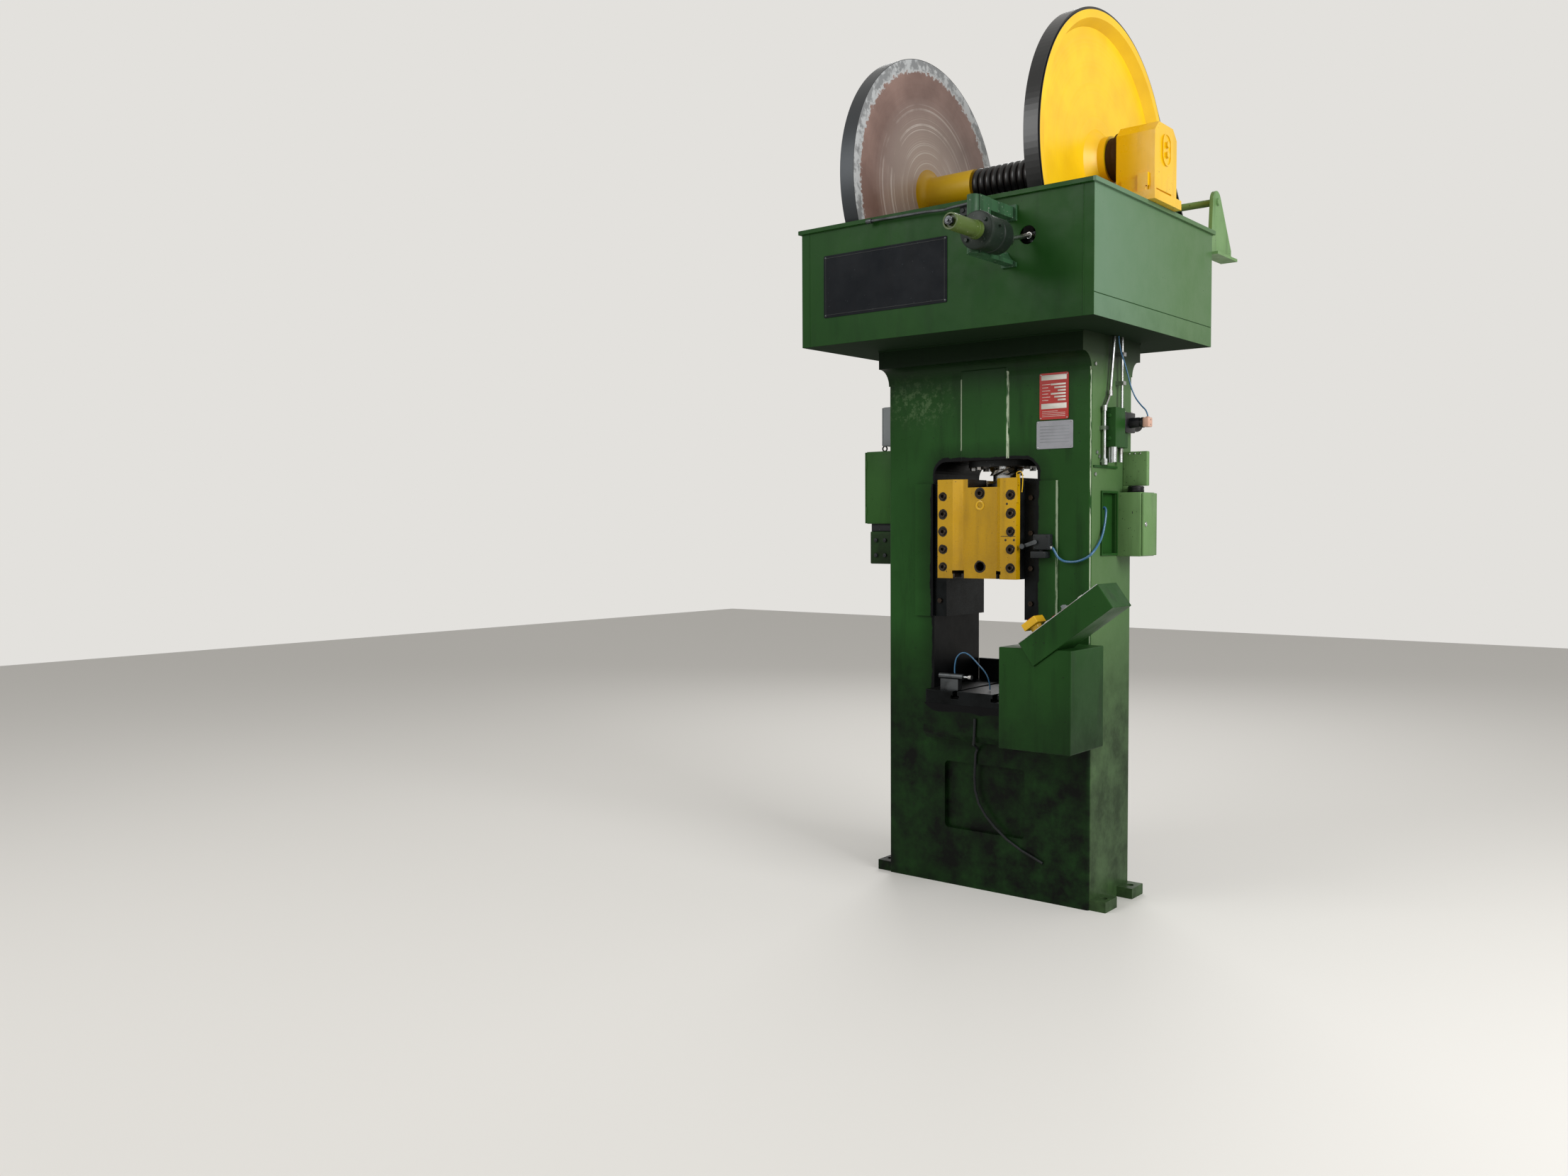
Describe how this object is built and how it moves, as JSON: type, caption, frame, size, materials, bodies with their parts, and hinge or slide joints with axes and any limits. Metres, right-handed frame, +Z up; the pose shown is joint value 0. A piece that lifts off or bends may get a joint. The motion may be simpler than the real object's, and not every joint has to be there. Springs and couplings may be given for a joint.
{
  "type": "double-disc friction screw press",
  "caption": "Stamping press: a cast frame with a yellow ram, driven through a screw and flywheel by upright friction discs on its head.",
  "frame": {"origin": "on the floor under the screw's axis, at the middle of the frame's base", "axes": "+X to the machine's right, +Y to its back, +Z up"},
  "size_m": [1.4754, 2.1049, 3.7265],
  "materials": {
    "green_paint": "machine enamel over cast iron and sheet",
    "pale_green_paint": "faded machine enamel",
    "yellow_paint": "gloss safety enamel over cast iron",
    "dark_steel": "oiled dark steel",
    "bright_steel": "turned and worn bright steel",
    "cast_iron": "cast iron, machined faces",
    "bronze": "cast bronze, machined thread",
    "lining": "pressed friction lining",
    "black_rubber": "moulded rubber",
    "black_plastic": "moulded black plastic",
    "name_plate": "dark painted sheet",
    "rating_plate": "printed aluminium plate",
    "notice_plate": "bare printed plate",
    "blue_hose": "extruded blue hose",
    "yellow_plastic": "moulded yellow plastic",
    "red_plastic": "moulded red plastic",
    "white_plastic": "moulded white plastic",
    "grey_plastic": "moulded grey plastic"
  },
  "bodies": {
    "frame": {"frame": "green_paint", "head_casing": "green_paint", "bolster_plate": "dark_steel", "rear_sill": "dark_steel", "lead_nut": "bronze", "nut_retainer": "cast_iron", "nut_bolts": "bright_steel", "gibs": "dark_steel", "gib_bolts": "bright_steel", "bearing_housings": "yellow_paint", "bearing_caps": "yellow_paint", "bearing_seals": "bright_steel", "thrust_rings": "lining", "motor": "pale_green_paint", "motor_bracket": "pale_green_paint", "drive_belt": "black_rubber", "brake_cylinder": "green_paint", "brake_arms": "pale_green_paint", "brake_post": "bright_steel", "lever_bracket": "dark_steel", "name_plate": "name_plate", "rating_plate": "rating_plate", "notice_plate": "notice_plate", "valve_block": "green_paint", "solenoid_valve": "black_plastic", "air_pipes": "bright_steel", "side_cover": "green_paint", "side_box": "pale_green_paint", "limit_switch": "dark_steel", "switch_hose": "blue_hose", "pedestal": "green_paint", "control_box": "green_paint", "stop_station": "yellow_plastic", "button_bezels": "black_plastic", "floor_conduit": "dark_steel", "stop_cylinder": "bright_steel"},
    "ram": {"ram": "yellow_paint", "ram_liners": "dark_steel", "ram_bolts": "dark_steel", "screw_cap": "dark_steel", "switch_cam": "yellow_paint"},
    "screw": {"screw": "bright_steel", "flywheel": "cast_iron", "friction_band": "lining"},
    "drive_shaft": {"drive_shaft": "bright_steel", "bellows": "black_rubber"},
    "left_disc": {"left_disc": "yellow_paint"},
    "right_disc": {"right_disc": "yellow_paint"},
    "motor_pulley": {"motor_pulley": "dark_steel"},
    "brake_rod": {"brake_rod": "bright_steel"},
    "brake_lever": {"brake_lever": "dark_steel"},
    "hand_lever": {"hand_lever": "bright_steel"},
    "switch_lever": {"switch_roller": "bright_steel"},
    "ejector_pin": {"ejector_pin": "bright_steel"},
    "stop_rod": {"stop_rod": "bright_steel"},
    "stop_button": {"stop_button": "red_plastic"},
    "start_button": {"start_button": "white_plastic"},
    "inch_button": {"inch_button": "white_plastic"},
    "halt_button": {"halt_button": "red_plastic"},
    "mode_knob": {"mode_knob": "grey_plastic"}
  },
  "joints": [
    {"name": "ram_slide", "type": "slide", "parent": "frame", "child": "ram", "axis": [0, 0, 1], "range_m": [-0.25, 0]},
    {"name": "screw_turn", "type": "hinge", "parent": "ram", "child": "screw", "pos_m": [0, 0, 2.2], "axis": [0, 0, 1], "range_deg": [-500.5, 0.5]},
    {"name": "shaft_spin", "type": "hinge", "parent": "frame", "child": "drive_shaft", "pos_m": [0, 0, 3.118], "axis": [1, 0, 0], "continuous": true},
    {"name": "left_disc_shift", "type": "slide", "parent": "drive_shaft", "child": "left_disc", "axis": [1, 0, 0], "range_m": [0, 0.0055], "stiffness_N_per_m": 40000},
    {"name": "right_disc_shift", "type": "slide", "parent": "drive_shaft", "child": "right_disc", "axis": [-1, 0, 0], "range_m": [0, 0.0055], "stiffness_N_per_m": 40000},
    {"name": "pulley_spin", "type": "hinge", "parent": "frame", "child": "motor_pulley", "pos_m": [0.44, 0.84, 2.8], "axis": [1, 0, 0], "continuous": true},
    {"name": "brake_rod_push", "type": "slide", "parent": "frame", "child": "brake_rod", "axis": [0, 1, 0], "range_m": [0, 0.0104], "stiffness_N_per_m": 3000},
    {"name": "brake_lever_turn", "type": "hinge", "parent": "frame", "child": "brake_lever", "pos_m": [0.108, -0.452, 2.725], "axis": [0, 0, 1], "range_deg": [-0.1, 2]},
    {"name": "hand_lever_turn", "type": "hinge", "parent": "frame", "child": "hand_lever", "pos_m": [0.192, -0.613, 2.874], "axis": [0, -1, 0], "range_deg": [0, 30]},
    {"name": "switch_lever_turn", "type": "hinge", "parent": "frame", "child": "switch_lever", "pos_m": [0.274, -0.246, 1.533], "axis": [0, -1, 0], "range_deg": [0, 25], "stiffness_Nm_per_rad": 0.4},
    {"name": "ejector_lift", "type": "slide", "parent": "frame", "child": "ejector_pin", "axis": [0, 0, 1], "range_m": [0, 0.06]},
    {"name": "stop_rod_push", "type": "slide", "parent": "frame", "child": "stop_rod", "axis": [1, 0, 0], "range_m": [0, 0.04]},
    {"name": "stop_button_push", "type": "slide", "parent": "frame", "child": "stop_button", "axis": [0.5878, 0, -0.809], "range_m": [0, 0.006], "stiffness_N_per_m": 400},
    {"name": "start_button_push", "type": "slide", "parent": "frame", "child": "start_button", "axis": [0.5878, 0, -0.809], "range_m": [0, 0.005], "stiffness_N_per_m": 400},
    {"name": "inch_button_push", "type": "slide", "parent": "frame", "child": "inch_button", "axis": [0.5878, 0, -0.809], "range_m": [0, 0.005], "stiffness_N_per_m": 400},
    {"name": "halt_button_push", "type": "slide", "parent": "frame", "child": "halt_button", "axis": [0.5878, 0, -0.809], "range_m": [0, 0.005], "stiffness_N_per_m": 400},
    {"name": "mode_knob_turn", "type": "hinge", "parent": "frame", "child": "mode_knob", "pos_m": [0.49637, -0.415, 1.27197], "axis": [-0.5878, 0, 0.809], "range_deg": [-45, 45]}
  ],
  "couplings": [
    {"joint": "screw_turn", "follows": "ram_slide", "rad_per_m": 34.907},
    {"joint": "pulley_spin", "follows": "shaft_spin", "ratio": 5.4545},
    {"joint": "brake_lever_turn", "follows": "brake_rod_push", "rad_per_m": 3.1803}
  ]
}
